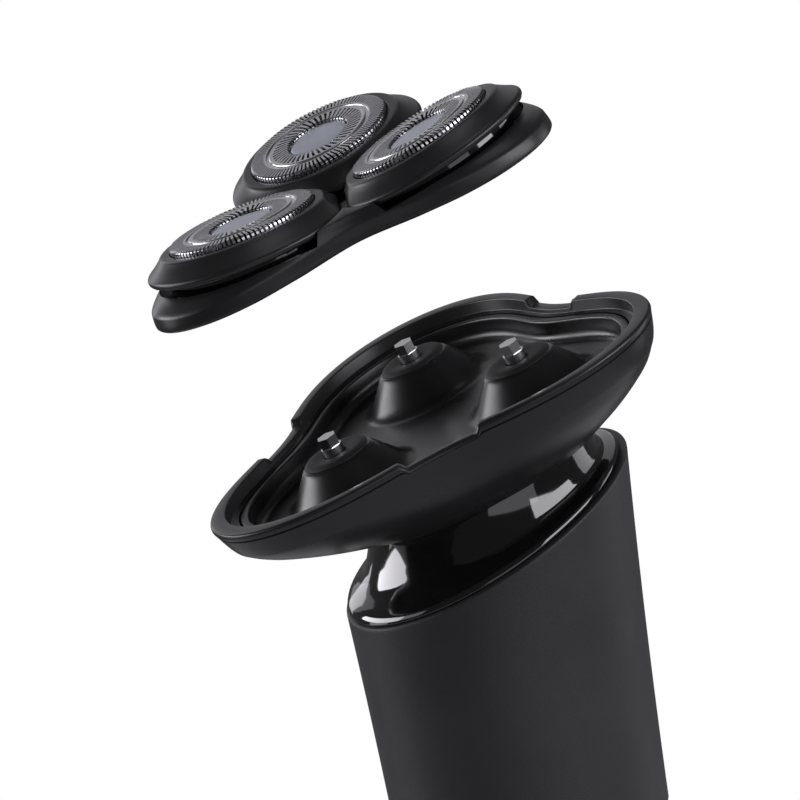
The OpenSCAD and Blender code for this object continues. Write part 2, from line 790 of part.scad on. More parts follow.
// Inner plate of the unit: holes for the petals, and hinge lugs between them
module head_plate() {
    color("#1d1d1f") in_unit() difference() {
        union() {
            translate([0, 0, 0.1]) linear_extrude(1.0) difference() {
                lobed_shape(25.4, 6.95);
                for (a = SECTORS) rotate(a) translate([guard_reach + 0.6, 0])
                    circle(r = plate_hole_r, $fn = 96);
            }
            for (a = SECTORS) in_sector(a + 60)
                translate([lug_near, -lug_half, 0.5]) cube([lug_far - lug_near, 2 * lug_half, lug_top - 0.5]);
        }
        for (a = SECTORS) in_sector(a) translate([pin_reach, 10, pin_height]) rotate([90, 0, 0])
            cylinder(r = pin_r, h = 20, $fn = 32);
    }
}

module petal_hinge_pins() {
    color("#c8c8c8") in_unit() for (a = SECTORS) in_sector(a)
        translate([pin_reach, pin_len / 2, pin_height]) rotate([90, 0, 0])
            cylinder(r = pin_r, h = pin_len, $fn = 32);
}

module head_magnets() {
    color("#b0b0b4") in_unit() for (a = SECTORS) in_sector(a + 180)
        translate([magnet_reach, 0, -0.9]) cylinder(r = 2.4, h = 0.98);
}

handle_shell();
base_cap();
base_seal();
inner_frame();
battery_cell();
battery_tabs();
circuit_board();
board_parts();
button_switch();
button_seal();
charging_port();
port_contacts();
motor_can();
motor_end_bell();
motor_screws();
gear_plate();
gear_posts();
neck_collar();
collar_seal();
chamber_shell();
hair_tray();
spindle_seals();
chamber_magnets();
power_button();
motor_shaft();
motor_pinion();
drive_gear_front();
drive_gear_right();
drive_gear_left();
spindle_spring_front();
spindle_spring_right();
spindle_spring_left();
drive_spindle_front();
drive_spindle_right();
drive_spindle_left();
head_ring();
head_plate();
head_magnets();
petal_hinge_pins();
petal_cover_front();
petal_cover_right();
petal_cover_left();
petal_frame_front();
petal_frame_right();
petal_frame_left();
guard_front();
guard_right();
guard_left();
guard_cap_front();
guard_cap_right();
guard_cap_left();
blade_retainer_front();
blade_retainer_right();
blade_retainer_left();
blade_front();
blade_right();
blade_left();
blade_hub_front();
blade_hub_right();
blade_hub_left();
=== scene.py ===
import json
import math

import bmesh
import bpy
import numpy as np
from mathutils import Matrix, Vector

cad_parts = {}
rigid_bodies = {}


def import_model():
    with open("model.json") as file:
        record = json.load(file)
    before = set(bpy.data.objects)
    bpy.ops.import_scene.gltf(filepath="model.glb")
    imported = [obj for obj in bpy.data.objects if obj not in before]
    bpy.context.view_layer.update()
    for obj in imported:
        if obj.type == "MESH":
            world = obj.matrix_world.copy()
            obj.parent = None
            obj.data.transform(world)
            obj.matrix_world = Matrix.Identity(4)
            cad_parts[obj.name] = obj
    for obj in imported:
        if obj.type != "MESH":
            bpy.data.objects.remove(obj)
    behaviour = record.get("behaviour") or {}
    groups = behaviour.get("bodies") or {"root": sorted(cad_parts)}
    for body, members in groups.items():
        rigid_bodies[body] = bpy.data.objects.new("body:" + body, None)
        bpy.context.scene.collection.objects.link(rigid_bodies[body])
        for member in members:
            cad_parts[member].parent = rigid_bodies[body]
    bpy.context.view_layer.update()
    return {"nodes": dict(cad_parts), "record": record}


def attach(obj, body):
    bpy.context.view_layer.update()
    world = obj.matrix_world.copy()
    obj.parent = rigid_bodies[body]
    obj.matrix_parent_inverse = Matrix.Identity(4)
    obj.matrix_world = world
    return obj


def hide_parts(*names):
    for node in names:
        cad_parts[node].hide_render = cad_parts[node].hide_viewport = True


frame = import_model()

MM = 0.001
FRONT, RIGHT, LEFT = -90.0, 30.0, 150.0
SECTORS = {"front": FRONT, "right": RIGHT, "left": LEFT}

# Sizes shared with the CAD source, in millimetres
HANDLE_TOP_R, HANDLE_GRIP_R, GRIP_Z = 22.0, 19.5, 40.0
SEAM_Z, SEAM_TILT, CAP_H, WALL = 118.0, 24.6, 3.0, 1.8
BUTTON_Z, BUTTON_R = 66.0, 6.5
HEAD_TILT = 20.4
RIM_CENTRE = (0.0, -6.1, 139.5)
LIFT, LIFT_TILT, RING_SEAT = 28.5, 13.1, 0.3
RIM_MEAN, RIM_LOBE = 32.1, 5.75
TRAY_MEAN, TRAY_LOBE, TRAY_TOP = 28.7, 4.95, -1.9
FLOOR_Z, FLOOR_T, SHELL_WALL = -5.0, 1.2, 1.7
RIM_IN_MEAN, RIM_IN_LOBE, BOSS_BORE = 29.8, 5.3, 3.9
NECK_Z, NECK_SHIFT = -14.5, 2.3
GUARD_R, GUARD_REACH, GUARD_PLANE, PETAL_TILT = 10.9, 16.1, 7.9, 6.5
SPINDLE_REACH = 16.75
POCKET_R, SKIRT_R, SKIRT_Z = 14.4, 15.3, -3.5
PIN_REACH, PIN_Z = 4.6, 1.75


def rot(axis, degrees):
    return Matrix.Rotation(math.radians(degrees), 4, axis)


def shift(x, y, z):
    return Matrix.Translation((x, y, z))


HEAD = shift(*RIM_CENTRE) @ rot("X", HEAD_TILT)
LIFT_BY = shift(0, -LIFT * math.sin(math.radians(LIFT_TILT)), LIFT * math.cos(math.radians(LIFT_TILT)))
UNIT = LIFT_BY @ HEAD @ shift(0, 0, RING_SEAT)


def petal_place(a):
    return UNIT @ rot("Z", a) @ shift(GUARD_REACH, 0, GUARD_PLANE) @ rot("Y", -PETAL_TILT)


# ---------- Mesh helpers ----------


def angles(n):
    return np.arange(n) * 2 * math.pi / n


def smooth_table(rows, at):
    """Monotone cubic through table rows, whose first column rises."""
    t = np.array(rows, float)
    x, y = t[:, 0], t[:, 1:]
    h = np.diff(x)[:, None]
    d = np.diff(y, axis=0) / h
    m = np.zeros_like(y)
    m[0], m[-1] = d[0], d[-1]
    for i in range(1, len(x) - 1):
        same = d[i - 1] * d[i] > 0
        w1, w2 = 2 * h[i] + h[i - 1], h[i] + 2 * h[i - 1]
        with np.errstate(divide="ignore", invalid="ignore"):
            m[i] = np.where(same, (w1 + w2) / (w1 / d[i - 1] + w2 / d[i]), 0)
    out = []
    for v in at:
        i = int(min(max(np.searchsorted(x, v, side="right") - 1, 0), len(x) - 2))
        k = (v - x[i]) / h[i, 0]
        out.append(
            (1 + 2 * k) * (1 - k) ** 2 * y[i]
            + k * (1 - k) ** 2 * h[i, 0] * m[i]
            + k * k * (3 - 2 * k) * y[i + 1]
            + k * k * (k - 1) * h[i, 0] * m[i + 1]
        )
    return np.array(out)


def make(name, verts, faces, place=Matrix.Identity(4), sharp=40):
    """A mesh object from millimetres in the frame of place."""
    mesh = bpy.data.meshes.new(name)
    mesh.from_pydata([tuple(v) for v in np.asarray(verts, float)], [], [list(map(int, f)) for f in faces])
    mesh.transform(Matrix.Scale(MM, 4) @ place)
    obj = bpy.data.objects.new(name, mesh)
    bpy.context.scene.collection.objects.link(obj)
    tidy_normals(obj)
    smooth(obj, sharp)
    return obj


def tidy_normals(obj):
    bm = bmesh.new()
    bm.from_mesh(obj.data)
    bmesh.ops.remove_doubles(bm, verts=bm.verts, dist=1e-7)
    bmesh.ops.recalc_face_normals(bm, faces=bm.faces)
    bm.to_mesh(obj.data)
    bm.free()


def smooth(obj, sharp):
    obj.data.polygons.foreach_set("use_smooth", [True] * len(obj.data.polygons))
    obj.data.set_sharp_from_angle(angle=math.radians(sharp))


def loft_faces(count, n, closed=False, skip=None, start=0):
    faces = []
    for k in range(count if closed else count - 1):
        nxt = (k + 1) % count
        for i in range(n):
            if skip is not None and skip(k, i):
                continue
            j = (i + 1) % n
            faces.append((start + k * n + i, start + k * n + j, start + nxt * n + j, start + nxt * n + i))
    return faces


def loft(name, rings, place=Matrix.Identity(4), closed=False, caps=False, sharp=40, skip=None):
    n = len(rings[0])
    faces = loft_faces(len(rings), n, closed, skip)
    if caps:
        faces.append(list(range(n)))
        faces.append([(len(rings) - 1) * n + i for i in range(n)])
    return make(name, np.concatenate(rings), faces, place, sharp)


def revolve(name, profile, place=Matrix.Identity(4), n=96, closed=True, sharp=40):
    q = angles(n)
    rings = [np.stack([r * np.cos(q), r * np.sin(q), np.full(n, z)], 1) for r, z in profile]
    return loft(name, rings, place, closed=closed, sharp=sharp)


def join(name, objs):
    """One object from several, keeping their sharp edges."""
    bm = bmesh.new()
    for o in objs:
        bm.from_mesh(o.data)
    mesh = bpy.data.meshes.new(name)
    bm.to_mesh(mesh)
    bm.free()
    obj = bpy.data.objects.new(name, mesh)
    bpy.context.scene.collection.objects.link(obj)
    for o in objs:
        old = o.data
        bpy.data.objects.remove(o)
        bpy.data.meshes.remove(old)
    return obj


def applied(obj, sharp=35):
    """obj with its modifiers applied."""
    graph = bpy.context.evaluated_depsgraph_get()
    mesh = bpy.data.meshes.new_from_object(obj.evaluated_get(graph))
    old = obj.data
    obj.modifiers.clear()
    obj.data = mesh
    bpy.data.meshes.remove(old)
    smooth(obj, sharp)
    return obj


def cut(obj, cutters, sharp=35):
    for c in cutters:
        m = obj.modifiers.new("cut", "BOOLEAN")
        m.operation, m.solver, m.object = "DIFFERENCE", "EXACT", c
    bpy.context.view_layer.update()
    applied(obj, sharp)
    for c in cutters:
        bpy.data.objects.remove(c)
    return obj


def soften(obj, width, segments=3, angle=40, sharp=35):
    """Rounded edges that catch the light."""
    m = obj.modifiers.new("soft_edges", "BEVEL")
    m.width, m.segments, m.limit_method = width * MM, segments, "ANGLE"
    m.angle_limit = math.radians(angle)
    m.use_clamp_overlap = True
    bpy.context.view_layer.update()
    return applied(obj, sharp)


def cylinder(name, r, z0, z1, place, n=160):
    q = angles(n)
    ends = [np.stack([r * np.cos(q), r * np.sin(q), np.full(n, z)], 1) for z in (z0, z1)]
    return loft(name, ends, place, caps=True)


# ---------- Materials ----------


def nodes_of(name):
    mat = bpy.data.materials.new(name)
    mat.use_nodes = True
    tree = mat.node_tree
    return mat, tree, tree.nodes["Principled BSDF"]


def noise(tree, scale, detail=3.0, stretch=(1, 1, 1)):
    coord = tree.nodes.new("ShaderNodeTexCoord")
    mapping = tree.nodes.new("ShaderNodeMapping")
    mapping.inputs["Scale"].default_value = stretch
    tex = tree.nodes.new("ShaderNodeTexNoise")
    tex.inputs["Scale"].default_value = scale
    tex.inputs["Detail"].default_value = detail
    tree.links.new(coord.outputs["Object"], mapping.inputs["Vector"])
    tree.links.new(mapping.outputs["Vector"], tex.inputs["Vector"])
    return tex.outputs["Fac"]


def spread(tree, value, low, high):
    node = tree.nodes.new("ShaderNodeMapRange")
    node.inputs["From Min"].default_value = 0.3
    node.inputs["From Max"].default_value = 0.7
    node.inputs["To Min"].default_value = low
    node.inputs["To Max"].default_value = high
    tree.links.new(value, node.inputs["Value"])
    return node.outputs["Result"]


def finish_of(name, colour, rough, metal=0.0, vary=0.12, rough_vary=0.05, grain=2500.0, bump=0.06,
              patch=60.0, coat=0.0, coat_rough=0.05, stretch=(1, 1, 1), specular=0.5, depth=0.00006,
              sheen=0.0):
    """Colour, gloss and relief that vary as they do on a moulded or machined surface."""
    mat, tree, bsdf = nodes_of(name)
    ramp = tree.nodes.new("ShaderNodeValToRGB")
    dark = [c * (1 - vary) for c in colour]
    light = [min(1, c * (1 + vary)) for c in colour]
    ramp.color_ramp.elements[0].position, ramp.color_ramp.elements[0].color = 0.35, (*dark, 1)
    ramp.color_ramp.elements[1].position, ramp.color_ramp.elements[1].color = 0.65, (*light, 1)
    tree.links.new(noise(tree, patch, 4.0, stretch), ramp.inputs["Fac"])
    tree.links.new(ramp.outputs["Color"], bsdf.inputs["Base Color"])
    tree.links.new(
        spread(tree, noise(tree, patch * 2.3, 3.0, stretch), rough - rough_vary, rough + rough_vary),
        bsdf.inputs["Roughness"])
    relief = tree.nodes.new("ShaderNodeBump")
    relief.inputs["Strength"].default_value = bump
    relief.inputs["Distance"].default_value = depth
    tree.links.new(noise(tree, grain, 2.0, stretch), relief.inputs["Height"])
    tree.links.new(relief.outputs["Normal"], bsdf.inputs["Normal"])
    bsdf.inputs["Metallic"].default_value = metal
    bsdf.inputs["Specular IOR Level"].default_value = specular
    if coat:
        bsdf.inputs["Coat Weight"].default_value = coat
        bsdf.inputs["Coat Roughness"].default_value = coat_rough
    if sheen:
        bsdf.inputs["Sheen Weight"].default_value = sheen
        bsdf.inputs["Sheen Roughness"].default_value = 0.4
    mat.diffuse_color = (*colour, 1)
    return mat


SOFT = finish_of("soft_touch", (0.024, 0.0232, 0.0255), 0.50, grain=5200, bump=0.35, depth=0.00008,
                 rough_vary=0.05, sheen=0.06, specular=0.4)
BOWL = finish_of("bowl_satin", (0.016, 0.0152, 0.0162), 0.30, grain=3400, bump=0.10, rough_vary=0.03,
                 specular=0.4)
UNIT_BLACK = finish_of("unit_satin", (0.015, 0.0143, 0.0155), 0.34, grain=3800, bump=0.12, rough_vary=0.04,
                       specular=0.45)
TRAY = finish_of("tray_satin", (0.010, 0.010, 0.011), 0.30, grain=3000, bump=0.10)
GLOSS = finish_of("piano_black", (0.004, 0.004, 0.0045), 0.07, vary=0.2, rough_vary=0.02, grain=700,
                  bump=0.02, patch=30, coat=0.6, coat_rough=0.03)
RUBBER = finish_of("rubber", (0.012, 0.012, 0.013), 0.62, grain=6000, bump=0.3)
STEEL = finish_of("shaving_steel", (0.60, 0.60, 0.63), 0.20, metal=1.0, vary=0.07, rough_vary=0.05,
                  grain=1800, bump=0.08, patch=300)
CAP = finish_of("cap_steel", (0.58, 0.62, 0.70), 0.36, metal=1.0, vary=0.05, rough_vary=0.05,
                grain=5000, bump=0.12, patch=400)
BLADE = finish_of("blade_steel", (0.42, 0.43, 0.45), 0.28, metal=1.0, vary=0.1, grain=2200, bump=0.1)
PLATED = finish_of("plated_steel", (0.66, 0.66, 0.66), 0.22, metal=1.0, vary=0.06, grain=1500, bump=0.06)
MOTOR = finish_of("motor_steel", (0.55, 0.56, 0.57), 0.32, metal=1.0, vary=0.08, grain=900, bump=0.1,
                  stretch=(1, 1, 8))
NYLON = finish_of("white_nylon", (0.72, 0.70, 0.62), 0.42, vary=0.05, grain=1800, bump=0.08)
FRAME = finish_of("frame_plastic", (0.60, 0.60, 0.58), 0.5, vary=0.05, grain=1500, bump=0.1)
BOARD = finish_of("board_green", (0.012, 0.10, 0.035), 0.35, vary=0.2, grain=900, bump=0.2, patch=260)
CHIP = finish_of("chip_black", (0.018, 0.018, 0.018), 0.45, grain=3000, bump=0.2)
CELL = finish_of("cell_wrap", (0.03, 0.10, 0.28), 0.28, vary=0.06, grain=500, bump=0.1)
GOLD = finish_of("gold_contact", (0.85, 0.60, 0.22), 0.22, metal=1.0, vary=0.05)
HUB = finish_of("hub_grey", (0.03, 0.03, 0.032), 0.42, vary=0.08, grain=1800, bump=0.08)
MAGNET = finish_of("magnet_nickel", (0.58, 0.57, 0.55), 0.25, metal=1.0, vary=0.08)

SLOT_MATERIAL = {
    "soft_touch_black": SOFT, "satin_black": UNIT_BLACK, "gloss_black": GLOSS, "black_rubber": RUBBER,
    "shaving_steel": STEEL, "cap_steel": CAP, "blade_steel": BLADE, "plated_steel": PLATED,
    "motor_steel": MOTOR, "white_nylon": NYLON, "frame_plastic": FRAME, "board_green": BOARD,
    "chip_black": CHIP, "cell_wrap": CELL, "gold_contact": GOLD, "hub_grey": HUB,
    "magnet_nickel": MAGNET,
}


def paint(obj, mat):
    obj.data.materials.clear()
    obj.data.materials.append(mat)


def place_piece(obj, body, nodes, mat):
    paint(obj, mat)
    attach(obj, body)
    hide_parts(*nodes)
    return obj


# Every CAD node takes the procedural finish of its record slot
for entry in frame["record"]["subparts"]:
    paint(frame["nodes"][entry["node"]], SLOT_MATERIAL[entry["material_slot"]])

# ---------- Handle ----------


def handle_r(z):
    z = np.asarray(z, float)
    k = np.clip((z - GRIP_Z) / (SEAM_Z - GRIP_Z), 0, None)
    return HANDLE_GRIP_R + (HANDLE_TOP_R - HANDLE_GRIP_R) * k ** 2


TAN_SEAM = math.tan(math.radians(SEAM_TILT))
HANDLE_N = 240
HQ = angles(HANDLE_N)


def seam_height(inset):
    """Height of the handle's oblique top edge at each angle, for a wall inset from the outside."""
    z = np.full(HANDLE_N, SEAM_Z)
    for _ in range(30):
        z = SEAM_Z + (handle_r(z) - inset) * np.sin(HQ) * TAN_SEAM
    return z


def handle_ring(z, inset):
    r = handle_r(z) - inset
    return np.stack([r * np.cos(HQ), r * np.sin(HQ), np.broadcast_to(z, r.shape)], 1)


GRIP_LOW, GRIP_HIGH, GRIP_PITCH, GRIP_DEPTH = 24, 78, 3.6, 0.35


def grip_groove(z):
    """Depth of the fine grip grooves across the back of the handle."""
    inside = np.clip((z - GRIP_LOW) / 2, 0, 1) * np.clip((GRIP_HIGH - z) / 2, 0, 1)
    side = np.clip((np.cos(HQ - math.pi / 2) - 0.72) / 0.05, 0, 1)
    side = side * side * (3 - 2 * side)
    wave = np.clip(np.cos(2 * math.pi * (z - GRIP_LOW) / GRIP_PITCH) * 3.2 - 2.2, 0, 1)
    return GRIP_DEPTH * inside * side * wave


rings = []
low = CAP_H
top_out = seam_height(0)
for step in np.linspace(0, 1, 330):
    z = low + 0.02 + (top_out - 0.5 - low - 0.02) * step
    rings.append(handle_ring(z, grip_groove(z)))
for drop, inset in [(0.25, 0.02), (0.1, 0.09), (0.02, 0.22), (0, 0.4)]:
    rings.append(handle_ring(seam_height(inset) - drop, inset))
rings.append(handle_ring(seam_height(WALL - 0.15), WALL - 0.15))
rings.append(handle_ring(seam_height(WALL) - 0.15, WALL))
top_in = seam_height(WALL)
for step in np.linspace(0.97, 0, 12):
    rings.append(handle_ring(low + 0.02 + (top_in - low - 0.02) * step, WALL))
handle = loft("handle_skin", rings, closed=True, sharp=50)
hole_place = shift(0, 0, BUTTON_Z) @ rot("X", 90)
cut(handle, [cylinder("hole", BUTTON_R + 1.0, 10, 26, hole_place, 128)], 50)
place_piece(handle, "handle", ["handle_shell"], SOFT)

# Base cap: rounded foot ring and a recessed sole
CAP_R, FOOT_EDGE = HANDLE_GRIP_R, 1.6
profile = [(4.9, 0.9), (12.6, 0.9), (13.0, 0.75), (13.2, 0.3), (13.5, 0.02), (14.2, 0)]
profile += [(CAP_R - FOOT_EDGE + FOOT_EDGE * math.sin(t), FOOT_EDGE - FOOT_EDGE * math.cos(t))
            for t in np.linspace(0, math.pi / 2, 12)]
profile += [(CAP_R, CAP_H - 0.28), (CAP_R - 0.06, CAP_H - 0.1), (CAP_R - 0.3, CAP_H - 0.02),
            (17.4, CAP_H - 0.02), (17.4, 8.6), (14.6, 8.6), (14.6, CAP_H), (4.9, CAP_H)]
sole = revolve("base_ring", profile, n=192, sharp=38)
# Plug round the charging socket, with the socket's rounded slot through it
q = angles(96)


def slot_ring(half, r, z):
    x = r * np.cos(q) + half * np.sign(np.round(np.cos(q), 6))
    return np.stack([x, r * np.sin(q), np.full(96, z)], 1)


plug = loft("socket_plug", [
    np.stack([4.95 * np.cos(q), 4.95 * np.sin(q), np.full(96, CAP_H)], 1),
    np.stack([4.95 * np.cos(q), 4.95 * np.sin(q), np.full(96, 0.9)], 1),
    slot_ring(2.9 * 0.86, 2.1, 0.9), slot_ring(2.9, 1.75, 1.15), slot_ring(2.9, 1.7, CAP_H),
], closed=True, sharp=38)
base = join("base_cap_skin", [sole, plug])
place_piece(base, "handle", ["base_cap"], BOWL)

# Power button, dished and following the handle's curve, with its rubber surround

def on_handle(rho, theta, out):
    """A point rho from the button's axis, out beyond the handle's surface."""
    x, z = rho * np.cos(theta), BUTTON_Z + rho * np.sin(theta)
    y = -np.sqrt((handle_r(z)) ** 2 - x ** 2) - out
    return np.stack([x, y, z], 1)


bq = angles(128)


STEM_END = 12.85  # clear of the switch plunger at full travel


def deep(rho, y):
    return np.stack([rho * np.cos(bq), np.full(128, y), BUTTON_Z + rho * np.sin(bq)], 1)


rings = [on_handle(r, bq, o) for r, o in
         [(0.02, -0.62), (1.2, -0.60), (2.4, -0.53), (3.6, -0.41), (4.6, -0.26), (5.3, -0.12), (5.8, 0.02),
          (6.05, 0.06), (6.25, 0.03), (6.4, -0.1), (6.47, -0.3)]]
rings += [deep(6.47, -17.0), deep(1.5, -17.0), deep(1.5, -STEM_END), deep(0.02, -STEM_END)]
button = loft("button_face", rings, closed=False, sharp=45)
place_piece(button, "power_button", ["power_button"], GLOSS)

rings = [on_handle(r, bq, o) for r, o in
         [(6.56, -1.4), (6.58, -0.35), (6.66, -0.05), (6.85, 0.12), (7.15, 0.18), (7.45, 0.12), (7.68, 0.0),
          (7.78, -0.12)]]
rings += [on_handle(7.42, bq, -0.4), on_handle(7.42, bq, -1.3)]
rings += [deep(8.8, -16.4), deep(8.8, -15.8), deep(6.56, -15.8)]
seal = loft("button_surround", rings, closed=True, sharp=45)
place_piece(seal, "handle", ["button_seal"], RUBBER)

# ---------- Neck collar ----------

NECK_N = 256
NQ = angles(NECK_N)
TILT = math.radians(HEAD_TILT)


def neck_ring(t, seam_r, round_r, dz=0.1):
    seam = np.stack([seam_r * np.cos(NQ), seam_r * np.sin(NQ),
                     SEAM_Z + dz + seam_r * np.sin(NQ) * TAN_SEAM], 1)
    y = round_r * np.sin(NQ) + NECK_SHIFT
    z = NECK_Z - 0.05
    top = np.stack([round_r * np.cos(NQ), RIM_CENTRE[1] + y * math.cos(TILT) - z * math.sin(TILT),
                    RIM_CENTRE[2] + y * math.sin(TILT) + z * math.cos(TILT)], 1)
    return (1 - t) * seam + t * top


NECK_TABLE = [
    (0, 20.9, 17.6), (0.02, 21.25, 17.8), (0.06, 21.5, 18.0), (0.12, 21.6, 18.0),
    (0.17, 21.3, 17.9), (0.22, 20.6, 17.85), (0.28, 19.75, 17.8), (0.36, 19.15, 17.75),
    (0.45, 18.9, 17.75), (0.6, 18.7, 17.7), (0.8, 18.55, 17.7), (1, 18.6, 17.75)
]
steps = np.concatenate([np.linspace(0, 0.12, 10), np.linspace(0.135, 1, 60)])
rings = [neck_ring(t, *row) for t, row in zip(steps, smooth_table(NECK_TABLE, steps))]
rings += [neck_ring(t, 18.9, 15.4) for t in np.linspace(1.01, -0.05, 8)]
collar = loft("neck_skin", rings, closed=True, sharp=55)
place_piece(collar, "handle", ["neck_collar"], GLOSS)

# ---------- Hair chamber ----------

LOBE_N = 384
LQ = angles(LOBE_N)
SHELL_OUT = [
    (-14.5, 19.2, 0.75, 2.3), (-13.0, 21.8, 1.35, 2.0), (-11.0, 24.8, 2.45, 1.5),
    (-9.0, 27.3, 3.45, 1.0), (-7.0, 29.3, 4.45, 0.5), (-5.4, 30.4, 5.05, 0.1),
    (-4.5, 30.9, 5.35, 0), (-0.6, 32.1, 5.75, 0)
]


def lobed_ring(z, mean, lobe, back=0.0, grow=0.0, lq=None):
    lq = LQ if lq is None else lq
    r = mean + grow + lobe * np.cos(3 * (lq + math.pi / 2))
    return np.stack([r * np.cos(lq), r * np.sin(lq) + back, np.broadcast_to(z, r.shape)], 1)


def notched(ring, half=5.8, depth=1.1):
    """Lowers a rim ring at the three finger notches."""
    out = ring.copy()
    for a in SECTORS.values():
        v = math.radians(a + 180)
        along = ring[:, 0] * math.cos(v) + ring[:, 1] * math.sin(v)
        across = -ring[:, 0] * math.sin(v) + ring[:, 1] * math.cos(v)
        k = np.clip((half + 0.35 - np.abs(across)) / 0.7, 0, 1) * (along > 10)
        k = k * k * (3 - 2 * k)
        out[:, 2] -= depth * k * np.clip((ring[:, 2] + 1.9) / 1.3, 0, 1)
    return out


zs = np.concatenate([np.linspace(-14.5, -4.6, 44), np.linspace(-4.5, -0.62, 14)])
table = smooth_table(SHELL_OUT, zs)
rings = []
for z, (mean, lobe, back) in zip(zs, table):
    rings.append(lobed_ring(z, mean, lobe, back))
groove_z = -1.25
for dz, inset in [(-0.16, 0.0), (-0.1, 0.14), (0.06, 0.14), (0.12, 0.0)]:
    row = smooth_table(SHELL_OUT, [groove_z + dz])[0]
    rings.append(lobed_ring(groove_z + dz, row[0] - inset, row[1], row[2]))
rings = sorted(rings, key=lambda ring: ring[0, 2])
for z, inset in [(-0.35, 0.04), (-0.18, 0.13), (-0.06, 0.27), (0.0, 0.45)]:
    rings.append(lobed_ring(z, RIM_MEAN - inset, RIM_LOBE))
for z, out in [(0.0, 0.3), (-0.05, 0.12), (-0.2, 0.0)]:
    rings.append(lobed_ring(z, RIM_IN_MEAN + out, RIM_IN_LOBE))
rings = [notched(r) for r in rings]
rings.append(lobed_ring(-1.8, RIM_IN_MEAN, RIM_IN_LOBE))
rings.append(lobed_ring(-1.9, RIM_IN_MEAN - 0.1, RIM_IN_LOBE))
rings.append(lobed_ring(-1.9, TRAY_MEAN, TRAY_LOBE))
rings.append(lobed_ring(FLOOR_Z - FLOOR_T, TRAY_MEAN, TRAY_LOBE))
for z in (-6.2, -7, -9, -11, -13, -14.5):
    mean, lobe, back = smooth_table(SHELL_OUT, [z])[0]
    rings.append(lobed_ring(z, mean - SHELL_WALL, lobe, back))
bowl = loft("chamber_skin", rings, HEAD, closed=True, sharp=48)
place_piece(bowl, "handle", ["chamber_shell"], BOWL)

# Tray: floor with rounded corners, flowing into three drive bosses
SPINDLES = [(SPINDLE_REACH * math.cos(math.radians(a)), SPINDLE_REACH * math.sin(math.radians(a)))
            for a in SECTORS.values()]


def soft_max(a, b, k):
    h = np.clip(0.5 + 0.5 * (a - b) / k, 0, 1)
    return b * (1 - h) + a * h + k * h * (1 - h)


def tray_height(x, y):
    z = np.full_like(x, FLOOR_Z)
    for cx, cy in SPINDLES:
        d = np.hypot(x - cx, y - cy)
        cone = 0.1 - (d - 5.2) * (5.1 / 4.2)
        cone = -soft_max(-cone, np.full_like(x, -0.1), 0.5)
        z = soft_max(z, cone, 1.4)
    return z


rings = []
inner = TRAY_MEAN - 0.15 - 1.4
FILLET = 1.5
for s in np.linspace(0.002, 1, 96):
    ring = lobed_ring(0.0, (inner - FILLET) * s, TRAY_LOBE * s)
    ring[:, 2] = tray_height(ring[:, 0], ring[:, 1])
    rings.append(ring)
for t in np.linspace(0.1, 1, 8):
    ring = lobed_ring(0.0, inner - FILLET + FILLET * math.sin(t * math.pi / 2), TRAY_LOBE)
    ring[:, 2] = FLOOR_Z + FILLET * (1 - math.cos(t * math.pi / 2))
    rings.append(ring)
for z, out in [(TRAY_TOP - 0.35, 0.02), (TRAY_TOP - 0.1, 0.12), (TRAY_TOP, 0.35), (TRAY_TOP, 1.15),
               (TRAY_TOP - 0.1, 1.34), (TRAY_TOP - 0.3, 1.4), (FLOOR_Z - FLOOR_T, 1.4)]:
    rings.append(lobed_ring(z, inner + out, TRAY_LOBE))
rings.append(lobed_ring(FLOOR_Z - FLOOR_T, 0.02, 0.0))
tray = loft("hair_tray_skin", rings, HEAD, closed=True, sharp=50)
bores = [
    cylinder("spindle_bore", BOSS_BORE, FLOOR_Z - 8, 3, HEAD @ rot("Z", a) @ shift(SPINDLE_REACH, 0, 0), 96)
    for a in SECTORS.values()
]
cut(tray, bores, 50)
place_piece(tray, "handle", ["hair_tray"], TRAY)

# Lip seals on the bosses
LIP_PROFILE = [
    (1.68, -0.3), (1.68, 0.1), (1.8, 0.3), (2.4, 0.42), (3.4, 0.52),
    (4.1, 0.55), (4.5, 0.45), (4.8, 0.25), (5.0, 0.05), (5.0, -0.3),
]
seals = []
for a in SECTORS.values():
    seals.append(revolve("lip", LIP_PROFILE, HEAD @ rot("Z", a) @ shift(SPINDLE_REACH, 0, 0.1), 96))
place_piece(join("boss_lips", seals), "handle", ["spindle_seals"], RUBBER)

# ---------- Shaving unit ----------

RING_OUT = [
    (0.0, 26.2, 7.0), (0.25, 26.8, 7.15), (0.6, 27.0, 7.2), (2.2, 27.0, 6.9), (3.4, 26.3, 6.2),
    (4.4, 25.2, 5.2)
]
steps = np.concatenate([np.linspace(0, 0.6, 8), np.linspace(0.7, 4.3, 22)])
rings = [lobed_ring(z, m, l) for z, (m, l) in zip(steps, smooth_table(RING_OUT, steps))]
rings += [lobed_ring(4.37, 25.0, 5.05), lobed_ring(4.4, 24.8, 4.9)]
rings += [lobed_ring(4.4, 17.0, 1.6), lobed_ring(4.4, 9.5, 0)]
rings += [lobed_ring(1.45, 9.5, 0), lobed_ring(1.45, 24.8, 6.3), lobed_ring(1.0, 25.5, 7.0)]
rings += [lobed_ring(0.0, 25.5, 7.0), lobed_ring(0.0, 25.9, 7.0)]
ring_obj = loft("ring_skin", rings, UNIT, closed=True, sharp=40)
cutters = []
for a in SECTORS.values():
    cutters.append(cylinder("pocket", POCKET_R, -12, 4, petal_place(a), 192))
    cutters.append(cylinder("skirt_room", SKIRT_R + 0.5, SKIRT_Z - 1.65, 6, petal_place(a), 192))
cut(ring_obj, cutters, 35)
soften(ring_obj, 0.16, 2, 38)
place_piece(ring_obj, "head_unit", ["head_ring"], UNIT_BLACK)

PETAL_N = 360
PQ = angles(PETAL_N)


